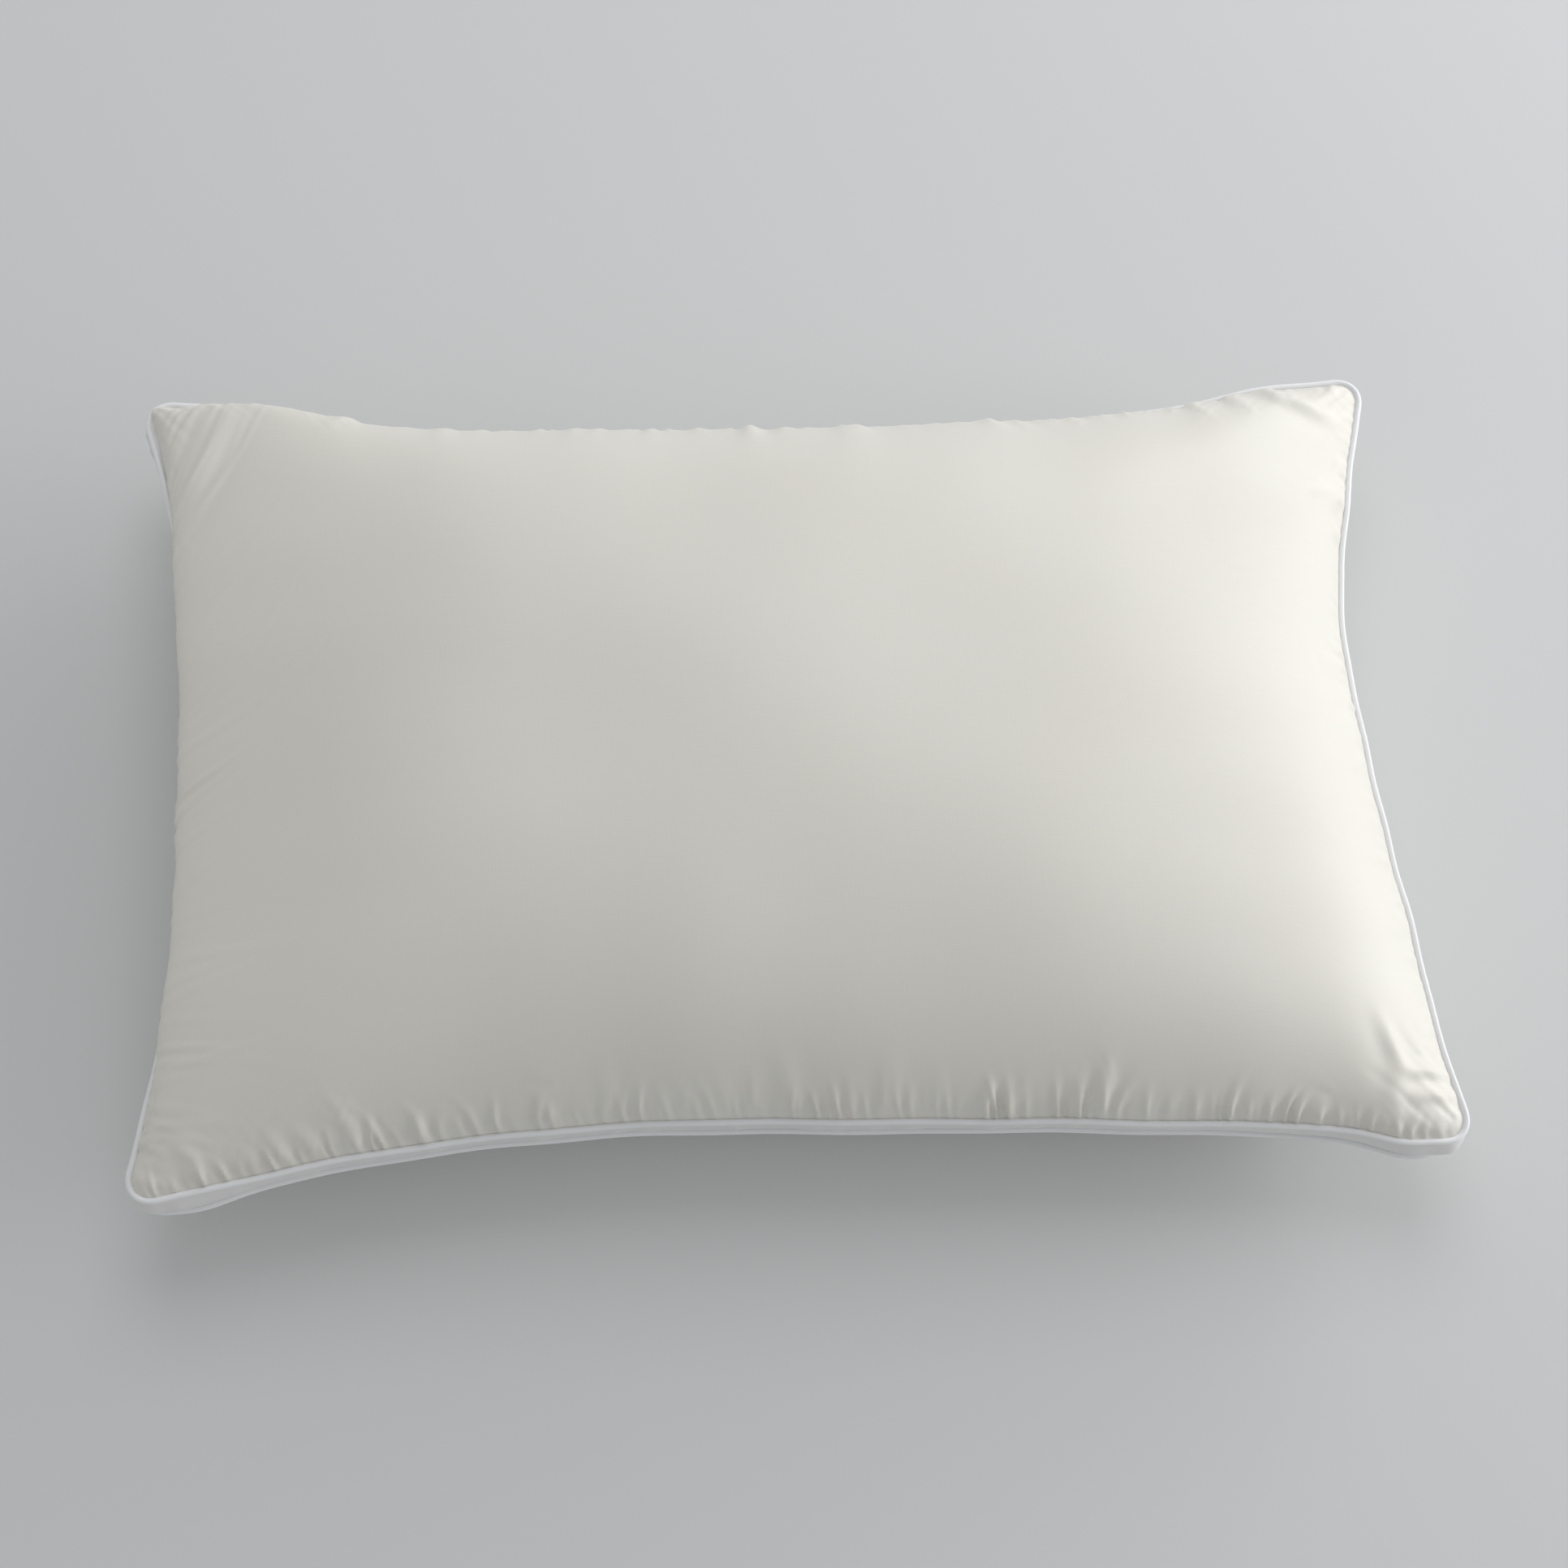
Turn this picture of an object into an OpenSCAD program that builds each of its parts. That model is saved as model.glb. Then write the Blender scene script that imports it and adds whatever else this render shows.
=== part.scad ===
// Gusseted bed pillow: two sateen panels joined by a four-strip gusset, a corded piping in each of the
// two seams, and a bagged fibre filling. Millimetres, +X along the length, +Z up.
// The origin is under the middle of the pillow, on the surface that it rests on.

/* [Outline] */
// Corner-to-corner length along the seams
seam_length = 700; // [600:5:760]
// Corner-to-corner width across the seams
seam_width = 450; // [400:2:500]
// How far the filling draws the long seams in at mid-length
long_draw = 30; // [10:1:36]
// How far the filling draws the short seams in at mid-width
short_draw = 32; // [10:1:36]
// Uneven draw of the front seam: deeper towards -X and shallower towards +X
front_sway = 5.5; // [0:0.5:8]
// Uneven draw of the right seam: deeper towards +Y and shallower towards -Y
right_sway = 6; // [0:0.5:8]
// Extra draw at the middle of the left seam, under the settled filling
left_tuck = 3; // [0:0.5:8]
// Radius of the sewn corners in plan
corner_radius = 18; // [14:1:30]

/* [Height] */
// Height of the lower seam above the bed at the middle of each side
lower_seam_height = 58; // [50:1:75]
// How far the seams drop at the four corners
corner_drop = 5; // [0:1:20]
// Width of the gusset between its two seams
gusset_width = 24; // [20:1:40]
// Rise of the top panel above the upper seam
crown = 92; // [60:1:110]
// Depth of the bottom panel below the lower seam, before the bed flattens it
belly = 80; // [76:1:95]
// How far the filling has settled towards -X, over the seam
fill_shift = 7; // [0:1:9]

/* [Cloth] */
// Thickness of the sateen panels
panel_cloth = 0.8; // [0.6:0.1:1.2]
// Thickness of the gusset strips
gusset_cloth = 0.7; // [0.5:0.1:1]
// How far the gusset bows outwards at mid-width
gusset_bow = 2; // [0:0.5:3]
// Thickness of the nonwoven filling bag
bag_cloth = 0.5; // [0.4:0.1:0.8]

/* [Piping] */
// Outside diameter of the covered piping
piping_diameter = 3.5; // [3:0.1:5]
// Thickness of the bias strip that covers the cord
piping_cloth = 0.4; // [0.3:0.1:0.5]
// Depth of the seam allowance that the piping's flange fills
allowance = 6; // [5:0.5:8]
// Diameter of the sewing thread
thread = 0.5; // [0.4:0.1:0.8]

/* [Care label] */
// Width of the blank folded tape
label_width = 32; // [20:1:45]
// Length of the tape that shows outside the seam
label_length = 18; // [12:1:22]
// Distance of the tape from mid-length, towards -X
label_offset = 150; // [0:5:220]

/* [Hidden] */

ivory = [0.90, 0.88, 0.83];
cool_white = [0.93, 0.94, 0.96];
thread_white = [0.97, 0.97, 0.95];

half_length = seam_length / 2;
half_width = seam_width / 2;
gap = 0.1;                      // running gap between cloth layers that lie on each other
layer = 0.4;                    // half the thickness of the folded flange
long_cells = 24;                // panel cells along the length
short_cells = 16;               // panel cells across the width
bag_long_cells = 20;
bag_short_cells = 14;
bag_inset = 9;                  // the bag stays clear of the seam allowances
bag_clearance = 2.3;            // and this far below the top panel
closing_share = 0.28;           // the closing seam's share of the back edge
dome_power = 0.57;              // a lower power is steeper at the seam
long_fullness = 2.3;            // a higher value is flatter over the middle
cross_fullness = 2.7;
cover_opening = 25;             // angle of the piping where its strip turns into the flange, outside
hole_opening = 10;              // and inside, round the cord
hook_reach = 0.9;               // how far the overlocking runs onto the seam allowance
hook_thread = 0.3;              // thickness of the overlocking thread, laid flat
tape = 0.3;                     // thickness of the care label's tape
closing_cells = 12;

// ---- The pillow's form -------------------------------------------------------------------------

// Grid values from -1 to 1, closer together towards the edges
function spread(cells) = [for (i = [0:cells]) sin(180 * i / cells - 90)];

// How far a coordinate lies into the square that holds the corner's arc, 0 to 1
function corner_share(x, half) = max(0, (abs(x) * half - half + corner_radius) / corner_radius);

function rounded_one(x, half, a, b) =
    a > 0 && b > 0 ? sign(x) * (half - corner_radius + corner_radius * a * sqrt(1 - b * b / 2)) / half : x;

// A grid point with the square's corners rounded off, still in -1 to 1
function rounded(u, v) =
    let (a = corner_share(u, half_length), b = corner_share(v, half_width))
    [rounded_one(u, half_length, a, b), rounded_one(v, half_width, b, a)];

// 1 at one side, fading to 0 at the opposite side
function near(x) = pow((1 + x) / 2, 3);

// 0 at both ends and the middle of a side, 1 on one half and -1 on the other
function sway(x) = (1 - x * x) * sin(180 * x);

// Place in plan of a rounded grid point, inset from the seam
function plan(p, inset) =
    [p.x * (half_length - inset - short_draw * (1 - p.y * p.y))
        - right_sway * near(p.x) * sway(p.y) + left_tuck * near(-p.x) * pow(1 - p.y * p.y, 2),
     p.y * (half_width - inset - long_draw * (1 - p.x * p.x))
        - front_sway * near(-p.y) * sway(p.x)];

// Height of the gusset's middle line
function middle_height(p) =
    lower_seam_height + gusset_width / 2 - corner_drop * pow(abs(p.x * p.y), 3);

// 1 over the middle of the pillow, falling steeply to 0 at the seam
function dome(u, v) =
    pow((1 - pow(abs(u), long_fullness)) * (1 - pow(abs(v), cross_fullness)), dome_power);

// A point of a cushion face: rise above (or below) the seam at that height
function face_point(u, v, inset, seam_offset, rise) =
    let (p = rounded(u, v), d = max(0, dome(u, v)), q = plan(p, inset))
    [q.x - fill_shift * sqrt(d), q.y, middle_height(p) + seam_offset + rise * d];

function face(across, up, inset, seam_offset, rise) =
    [for (u = across, v = up) face_point(u, v, inset, seam_offset, rise)];

function lifted(points, floor_height) = [for (p = points) [p.x, p.y, max(p.z, floor_height)]];

// ---- Solids from grids and loops ---------------------------------------------------------------

function cell_faces(i, j, step, first, turned) =
    let (a = first + i * step + j, b = a + step)
    turned ? [[a, b, a + 1], [b, b + 1, a + 1]] : [[a, a + 1, b], [b, a + 1, b + 1]];

// Grid indices round the edge of a grid
function rim(n, m) = concat(
    [for (i = [0:n - 1]) i * (m + 1)],
    [for (j = [0:m - 1]) n * (m + 1) + j],
    [for (i = [n:-1:1]) i * (m + 1) + m],
    [for (j = [m:-1:1]) j]);

// The closed solid between two grids of the same cells. outer faces up where way is 1, down where it is -1.
module between(outer, inner, n, m, way) {
    count = (n + 1) * (m + 1);
    edge = rim(n, m);
    edge_count = len(edge);
    polyhedron(concat(outer, inner), concat(
        [for (i = [0:n - 1], j = [0:m - 1]) each cell_faces(i, j, m + 1, 0, way < 0)],
        [for (i = [0:n - 1], j = [0:m - 1]) each cell_faces(i, j, m + 1, count, way > 0)],
        [for (k = [0:edge_count - 1])
            let (a = edge[way > 0 ? k : (k + 1) % edge_count], b = edge[way > 0 ? (k + 1) % edge_count : k])
            each [[a, b, a + count], [b, b + count, a + count]]]));
}

// Grid points round the four seams, anticlockwise from the front left corner
function side_points(side, cells) =
    let (s = spread(cells))
    [for (k = [0:cells])
        side == 0 ? [s[k], -1] : side == 1 ? [1, s[k]] : side == 2 ? [-s[k], 1] : [-1, -s[k]]];

function all_but_last(list) = [for (i = [0:len(list) - 2]) list[i]];

function side_cells(side) = side % 2 == 0 ? long_cells : short_cells;

loop = [for (side = [0:3]) each all_but_last(side_points(side, side_cells(side)))];
side_starts = [0, long_cells, long_cells + short_cells, 2 * long_cells + short_cells];

function seam_point(uv) = let (p = rounded(uv.x, uv.y), q = plan(p, 0)) [q.x, q.y, middle_height(p)];

function outward(before, after) =
    let (t = after - before, size = norm([t.x, t.y]))
    [t.y / size, -t.x / size, 0];

// A profile of [outward, up] points carried along a line of seam points
function swept(line, ways, profile) =
    [for (i = [0:len(line) - 1], q = profile) line[i] + ways[i] * q.x + [0, 0, q.y]];

function tube_faces(rings, sides, closed) =
    [for (i = [0:rings - (closed ? 1 : 2)], j = [0:sides - 1])
        let (a = i * sides + j, b = i * sides + (j + 1) % sides,
             c = ((i + 1) % rings) * sides + j, d = ((i + 1) % rings) * sides + (j + 1) % sides)
        each [[a, b, c], [b, d, c]]];

module loop_sweep(profile) {
    line = [for (uv = loop) seam_point(uv)];
    rings = len(line);
    ways = [for (i = [0:rings - 1]) outward(line[(i + rings - 1) % rings], line[(i + 1) % rings])];
    polyhedron(swept(line, ways, profile), tube_faces(rings, len(profile), true));
}

// The same along part of a seam, with flat ends. The first and last points only give a direction.
module side_sweep(uvs, profile) {
    line = [for (uv = uvs) seam_point(uv)];
    last = len(line) - 3;
    sides = len(profile);
    ways = [for (i = [0:last]) outward(line[i], line[i + 2])];
    polyhedron(swept([for (i = [0:last]) line[i + 1]], ways, profile), concat(
        tube_faces(last + 1, sides, false),
        [[for (j = [sides - 1:-1:0]) j]],
        [[for (j = [0:sides - 1]) last * sides + j]]));
}

function ring(cx, cy, r, sides, from = 0) =
    [for (k = [0:sides - 1]) [cx + r * cos(from - 360 * k / sides), cy + r * sin(from - 360 * k / sides)]];

// ---- Profiles, as [outward, up] from the gusset's middle line ----------------------------------

upper = gusset_width / 2;
piping_out = piping_diameter / 2;   // the cord's centre lies this far outside the seam

// Round the cord from the flange's top to its underside, starting at an angle from the seam
function round_cord(r, start, height, steps) =
    [for (k = [0:steps]) let (a = start + k * (360 - 2 * start) / steps)
        [piping_out - r * cos(a), height + r * sin(a)]];

function reversed(list) = [for (i = [len(list) - 1:-1:0]) list[i]];

// A bias strip folded round the cord, its two edges lying together as the flange
function piping_profile(height) =
    let (r = piping_diameter / 2, hole = r - piping_cloth, slit = gap / 2, steps = 5)
    concat(
        [[-allowance, height + slit], [-allowance, height + layer], [0, height + layer]],
        round_cord(r, cover_opening, height, steps),
        [[0, height - layer], [-allowance, height - layer], [-allowance, height - slit], [0, height - slit]],
        reversed(round_cord(hole, hole_opening, height, steps)),
        [[0, height + slit]]);

function thread_profile(out, height) = ring(out, height, thread / 2, 4, 45);

// The gusset's bowed section, from its lower edge to its upper one, moved inwards by depth
gusset_edge = upper - layer - gap;
gusset_rows = 4;
function bowed(depth) =
    [for (k = [0:gusset_rows]) let (s = k / gusset_rows)
        [gusset_bow * sin(180 * s) - depth, (2 * s - 1) * gusset_edge]];

function hook_profile(height) =
    let (out = -allowance, w = hook_reach, t = hook_thread, c = layer + gap)
    [[out + w, height + c], [out + w, height + c + t], [out - gap - t, height + c + t],
     [out - gap - t, height - c - t], [out + w, height - c - t], [out + w, height - c],
     [out - gap, height - c], [out - gap, height + c]];

// ---- The sub-parts -----------------------------------------------------------------------------

module top_panel() {
    across = spread(long_cells);
    up = spread(short_cells);
    lift = upper + layer + gap;
    color(ivory)
        between(face(across, up, 0, lift, crown), face(across, up, panel_cloth, lift, crown - panel_cloth),
                long_cells, short_cells, 1);
}

module bottom_panel() {
    across = spread(long_cells);
    up = spread(short_cells);
    drop = -upper - layer - gap;
    color(ivory) difference() {
        between(face(across, up, 0, drop, -belly),
                lifted(face(across, up, panel_cloth, drop, -belly + panel_cloth), panel_cloth),
                long_cells, short_cells, -1);
        translate([-half_length, -half_width, -belly]) cube([seam_length, seam_width, belly]);
    }
}

module gusset(side) {
    first = side_starts[side] + len(loop) - 1;
    uvs = [for (k = [0:side_cells(side) + 2]) loop[(first + k) % len(loop)]];
    color(cool_white) side_sweep(uvs, concat(reversed(bowed(gusset_cloth)), bowed(0)));
}

module piping_cover(height) color(cool_white) loop_sweep(piping_profile(height));

module piping_cord(height)
    color(thread_white) loop_sweep(ring(piping_out, height, piping_diameter / 2 - piping_cloth - gap, 6));

// The lockstitch that closes each seam, just inside the panel's edge
module seam_thread(height, up)
    color(thread_white)
        loop_sweep(thread_profile(-panel_cloth - 2 * thread, height + up * (layer + gap + thread / 2)));

// The overlocked edge of each seam allowance
module overlock_thread(height) color(thread_white) loop_sweep(hook_profile(height));

// Four short joins that follow the bow of the gusset, one inside each corner
module gusset_corner_threads() {
    r = thread / 2;
    line = [for (q = bowed(gusset_cloth + gap + r)) [q.x, q.y * (1 - thread / gusset_edge)]];
    section = [[-r, -r], [r, -r], [r, r], [-r, r]];
    last = len(line) - 1;
    color(thread_white)
        for (sx = [-1, 1], sy = [-1, 1]) {
            foot = seam_point([sx, sy]);
            turn = atan2(sy, sx);
            points = [for (q = line, c = section) [q.x + c.x, c.y, q.y]];
            translate(foot) rotate([0, 0, turn]) polyhedron(points, concat(
                [for (f = tube_faces(last + 1, 4, false)) reversed(f)],
                [[0, 1, 2, 3]],
                [[for (j = [3:-1:0]) last * 4 + j]]));
        }
}

// The hand-fed opening at the middle of the back, topstitched shut on the outside of the gusset
module closing_seam_thread() {
    height = -upper + 4 * piping_diameter / 3;
    bow = gusset_bow * sin(180 * (height + upper) / gusset_width);
    uvs = [for (k = [-1:closing_cells + 1]) [closing_share * (1 - 2 * k / closing_cells), 1]];
    color(thread_white) side_sweep(uvs, thread_profile(bow + thread / 2 + gap, height));
}

// A blank tape folded in half, its two ends caught under the lower piping
module care_label() {
    place = rounded(-label_offset / half_length, 1);
    root = plan(place, 0);
    height = middle_height(place) - upper - piping_diameter / 2 - 3 * tape - gap;
    color(thread_white) translate([root.x - label_width / 2, root.y + gap, height]) {
        cube([label_width, label_length, tape]);
        translate([0, 0, 2 * tape]) cube([label_width, label_length, tape]);
        translate([0, label_length - tape, tape]) cube([label_width, tape, tape]);
    }
}

// One half of the filling bag: way is 1 for the upper half and -1 for the lower
function bag_face(inset, way, height, bottom) =
    let (across = spread(bag_long_cells), up = spread(bag_short_cells))
    lifted(face(across, up, bag_inset + inset, way * gap, way * height), bottom);

bag_rise = upper + crown - bag_clearance;
bag_floor = panel_cloth + 3 * gap;
bag_belly = upper + belly - bag_clearance;

module bag_upper()
    color(cool_white) between(bag_face(0, 1, bag_rise, 0), bag_face(bag_cloth, 1, bag_rise - bag_cloth, 0),
                              bag_long_cells, bag_short_cells, 1);

module bag_lower()
    color(cool_white) between(bag_face(0, -1, bag_belly, bag_floor),
                              bag_face(bag_cloth, -1, bag_belly - bag_cloth, bag_floor + bag_cloth),
                              bag_long_cells, bag_short_cells, -1);

module bag_seam_thread()
    color(thread_white) loop_sweep(thread_profile(-bag_inset + gap + thread / 2, 0));

module filling() {
    inset = bag_cloth + 2 * gap;
    color(thread_white) between(bag_face(inset, 1, bag_rise - inset, 0),
                                bag_face(inset, -1, bag_belly - inset, bag_floor + inset),
                                bag_long_cells, bag_short_cells, 1);
}

top_panel();
bottom_panel();
gusset(0);  // front_gusset
gusset(1);  // right_gusset
gusset(2);  // back_gusset
gusset(3);  // left_gusset
piping_cover(upper);  // upper_piping_cover
piping_cord(upper);  // upper_piping_cord
piping_cover(-upper);  // lower_piping_cover
piping_cord(-upper);  // lower_piping_cord
seam_thread(upper, 1);  // upper_seam_thread
seam_thread(-upper, -1);  // lower_seam_thread
overlock_thread(upper);  // upper_overlock_thread
overlock_thread(-upper);  // lower_overlock_thread
gusset_corner_threads();
closing_seam_thread();
care_label();
bag_upper();
bag_lower();
bag_seam_thread();
filling();
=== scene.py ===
"""A gusseted bed pillow: simulated sateen panels, gathered seams, piping, side band and filling."""
import math

import bmesh
import bpy
import numpy as np
from mathutils import Matrix, Vector


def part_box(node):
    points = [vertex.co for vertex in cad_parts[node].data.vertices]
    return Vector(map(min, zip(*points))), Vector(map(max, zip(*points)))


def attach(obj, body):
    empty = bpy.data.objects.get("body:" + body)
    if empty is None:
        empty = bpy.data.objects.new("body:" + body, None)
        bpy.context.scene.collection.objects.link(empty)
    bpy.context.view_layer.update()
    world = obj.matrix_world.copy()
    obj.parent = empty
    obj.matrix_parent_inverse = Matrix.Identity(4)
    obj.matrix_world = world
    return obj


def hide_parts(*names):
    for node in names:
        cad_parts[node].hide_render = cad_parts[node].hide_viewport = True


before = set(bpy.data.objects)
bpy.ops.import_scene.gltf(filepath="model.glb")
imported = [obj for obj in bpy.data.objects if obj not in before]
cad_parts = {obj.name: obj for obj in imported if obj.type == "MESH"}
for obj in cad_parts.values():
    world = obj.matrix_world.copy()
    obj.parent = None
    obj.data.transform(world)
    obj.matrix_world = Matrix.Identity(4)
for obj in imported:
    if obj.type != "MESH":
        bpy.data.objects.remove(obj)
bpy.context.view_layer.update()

# ---- Sizes, in metres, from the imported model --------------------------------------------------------
PIPING = 0.0035
SEAM_LOW, SEAM_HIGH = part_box("upper_piping_cover")
TOP_OF_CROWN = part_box("top_panel")[1].z
UPPER_SEAM = SEAM_HIGH.z - PIPING / 2               # height of the upper seam at mid-length
LOWER_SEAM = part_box("lower_piping_cover")[1].z - PIPING / 2
CORNER_DROP = SEAM_HIGH.z - SEAM_LOW.z - PIPING
GUSSET = UPPER_SEAM - LOWER_SEAM
CROWN = TOP_OF_CROWN - UPPER_SEAM
BELLY = 0.080                                       # depth of the bottom panel before the bed flattens it
HALF_LENGTH = 0.350
HALF_WIDTH = 0.225
LONG_DRAW = 0.030                                   # how far the filling draws the long seams in
SHORT_DRAW = 0.032
CORNER_RADIUS = 0.018
FILL_SHIFT = 0.007                                  # the filling has settled towards -X
CLOTH = 0.0006
CORD = 0.0024
ALLOWANCE = 0.006
THREAD = 0.0005
BAG_INSET = 0.009                                   # from the cover's outline to the bag's own seam
BAG_DEPTH = 0.0022                                  # from a panel to the bag, and to the fibre in it
FIBRE_DEPTH = 0.0036
LABEL_WIDTH = 0.032
LABEL_LENGTH = 0.018
SEAM_STITCH = 0.0028                                # stitch lengths
OVERLOCK_STEP = 0.0014                              # four steps to a loop
CLOSING_STITCH = 0.0030
BAG_STITCH = 0.0040
GUSSET_STEP = 0.0022                                # mesh spacings along the seams
PIPING_STEP = 0.0018
CORD_STEP = 0.0012

# Half of the sewn size of each flat panel
FLAT_LENGTH = 0.361
FLAT_WIDTH = 0.233

GATHER_START = 0.0014                               # distance from the seam within which gathers rise
FINE_GATHER_START = 0.0006
PANEL_CELLS = (200, 128)
SIM_FRAMES = 30
PRESSURE = 8.0

FRONT, RIGHT, BACK, LEFT = range(4)
OUTWARD = np.array([(0, -1, 0), (1, 0, 0), (0, 1, 0), (-1, 0, 0)], float)


# ---- The pillow's form ------------------------------------------------------------------------------
def corner_share(x, half):
    return np.clip((np.abs(x) * half - half + CORNER_RADIUS) / CORNER_RADIUS, 0, 1)


def rounded(u, v):
    """A grid point with the square's corners rounded off, still in -1 to 1."""
    a, b = corner_share(u, FLAT_LENGTH), corner_share(v, FLAT_WIDTH)
    inside = (a > 0) & (b > 0)
    p = np.sign(u) * (FLAT_LENGTH - CORNER_RADIUS + CORNER_RADIUS * a * np.sqrt(1 - b * b / 2)) / FLAT_LENGTH
    q = np.sign(v) * (FLAT_WIDTH - CORNER_RADIUS + CORNER_RADIUS * b * np.sqrt(1 - a * a / 2)) / FLAT_WIDTH
    return np.where(inside, p, u), np.where(inside, q, v)


def bell(x, width):
    return np.exp(-(x / width) ** 2)


def seam_wave(side, s, level):
    """How far the seam strays outwards and upwards at s, from -1 to 1 along its side."""
    free = 1 - s ** 2
    held = 1 - s ** 6
    if side == FRONT:
        out = 0.0055 * free * np.sin(math.pi * s) + 0.003 * bell(s - 0.89, 0.05)
        out = out + 0.0032 * bell(s + 0.08, 0.28) - 0.0024 * bell(s - 0.70, 0.13)
        out = out + (1 - level) * (0.0020 * bell(s + 0.9, 0.06) + 0.0015 * bell(s - 0.93, 0.04))
    elif side == RIGHT:
        out = -0.006 * free * np.sin(math.pi * s)
    elif side == BACK:
        out = 0.005 * (bell(np.abs(s) - 0.85, 0.09) - bell(np.abs(s) - 0.55, 0.17)) * held
    else:
        out = -0.003 * free ** 2
    out = out + held * (0.0006 * np.sin(11 * s + side) + 0.0003 * np.sin(29 * s + 2 * side))
    up = held * (0.0010 * np.sin(7 * s + 1.7 * side + level) + 0.0004 * np.sin(23 * s + side - level))
    return out, up


def side_share(side, u, v):
    """A point's place along a side, and its nearness to that side from 0 to 1."""
    along = u if side in (FRONT, BACK) else v
    near = [1 - v, 1 + u, 1 + v, 1 - u][side] / 2
    return along, near ** 3


def place(u, v, level, rise=0.0, shift=0.0):
    """A point of the pillow: level is -1 at the lower seam and 1 at the upper one."""
    p, q = rounded(u, v)
    x = p * (HALF_LENGTH - SHORT_DRAW * (1 - q * q)) - shift
    y = q * (HALF_WIDTH - LONG_DRAW * (1 - p * p))
    middle = (UPPER_SEAM + LOWER_SEAM) / 2 - CORNER_DROP * np.abs(p * q) ** 3
    points = np.stack([x, y, middle + level * GUSSET / 2 + rise], -1)
    for side in range(4):
        s, near = side_share(side, u, v)
        out, up = seam_wave(side, s, level)
        points += (near * out)[..., None] * OUTWARD[side]
        points[..., 2] += near * up
    return points


def dome(u, v):
    """1 over the middle of a panel, falling steeply to 0 at the seam."""
    return ((1 - np.abs(u) ** 2.3) * (1 - np.abs(v) ** 2.7)).clip(0) ** 0.57


def square_edge(t):
    """The square's edge for t from 0 to 4, anticlockwise from the front left corner."""
    side = np.floor(t).astype(int) % 4
    s = 2 * (t - np.floor(t)) - 1
    one = np.ones_like(s)
    return np.choose(side, [s, one, -s, -one]), np.choose(side, [-one, s, one, -s])


def seam(t, level):
    u, v = square_edge(t)
    return place(u, v, level)


def seam_places(spacing, first=0.0, last=4.0):
    """Values of t that are evenly spaced along the upper seam."""
    t = np.linspace(first, last, 4001)
    run = np.concatenate([[0], np.cumsum(np.linalg.norm(np.diff(seam(t, 1), axis=0), axis=1))])
    count = max(2, round(run[-1] / spacing))
    return np.interp(np.linspace(0, run[-1], count + 1), run, t), np.linspace(0, run[-1], count + 1)


def outward_at(t, level):
    """The horizontal direction away from the pillow at a place on a seam."""
    step = 0.002
    way = seam(t + step, level) - seam(t - step, level)
    out = np.stack([way[:, 1], -way[:, 0], np.zeros(len(way))], -1)
    return out / np.linalg.norm(out, axis=1, keepdims=True)


# ---- Gathers ----------------------------------------------------------------------------------------
def gather_set(seed, half, count, width, length, height, lean, spread=0.15, tilt=0.0):
    """Random gathers along a seam: place, width, length, height and lean, with the far ones leaning more."""
    rng = np.random.RandomState(seed)
    at = np.sort((np.arange(count) + rng.uniform(0.1, 0.9, count)) / count * 2 - 1) * half
    size = rng.uniform(0.35, 1.0, count) ** 1.5
    return np.stack([
        at,
        width * rng.uniform(0.7, 1.3, count),
        length * (0.4 + 0.9 * size) * rng.uniform(0.7, 1.2, count),
        height * size,
        tilt + lean * at / half + rng.uniform(-spread, spread, count)], -1)


def crowding(side, s):
    """The front seam is gathered more in some places than in others."""
    if side != FRONT:
        return 0.75 + 0.25 * np.sin(9 * s + side)
    places = ((-0.72, 0.13), (0.02, 0.05), (0.28, 0.04), (0.41, 0.05), (0.72, 0.12))
    return 0.5 + 0.7 * sum(bell(s - at, width) for at, width in places)


def gathered(fx, fy, sets, start):
    """Height of the gathers over the flat cloth. They rise to it within about start of the seam."""
    rise = np.zeros_like(fx)
    for side, rows in sets:
        along = fx if side in (FRONT, BACK) else fy
        away = [fy + FLAT_WIDTH, FLAT_LENGTH - fx, FLAT_WIDTH - fy, fx + FLAT_LENGTH][side]
        half = FLAT_LENGTH if side in (FRONT, BACK) else FLAT_WIDTH
        for at, width, length, height, lean in rows:
            height, width = height * crowding(side, at / half), width * math.hypot(1, lean)
            beside = 4 * width + (abs(lean) + 0.1) * 2.2 * length
            near = (away < 2.2 * length) & (np.abs(along - at) < beside)
            d = away[near]
            x = (along[near] - at - lean * d * (0.5 + 0.5 * d / length)) / (width * (1 + 0.5 * d / length))
            ridge = np.exp(-x * x) - 0.45 * np.exp(-x * x / 4)
            rise[near] += height * ridge * (1 - np.exp(-d / start)) * np.exp(-(d / length) ** 2)
    return rise


def folded(fx, fy, folds):
    """Height of single soft folds: each has its middle, direction, width, length and height."""
    rise = np.zeros_like(fx)
    for x, y, degrees, width, length, height in folds:
        c, s = math.cos(math.radians(degrees)), math.sin(math.radians(degrees))
        along, across = (fx - x) * c + (fy - y) * s, (fy - y) * c - (fx - x) * s
        rise += height * (bell(across, width) - 0.4 * bell(across, 2 * width)) * bell(along, length)
    return rise


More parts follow.
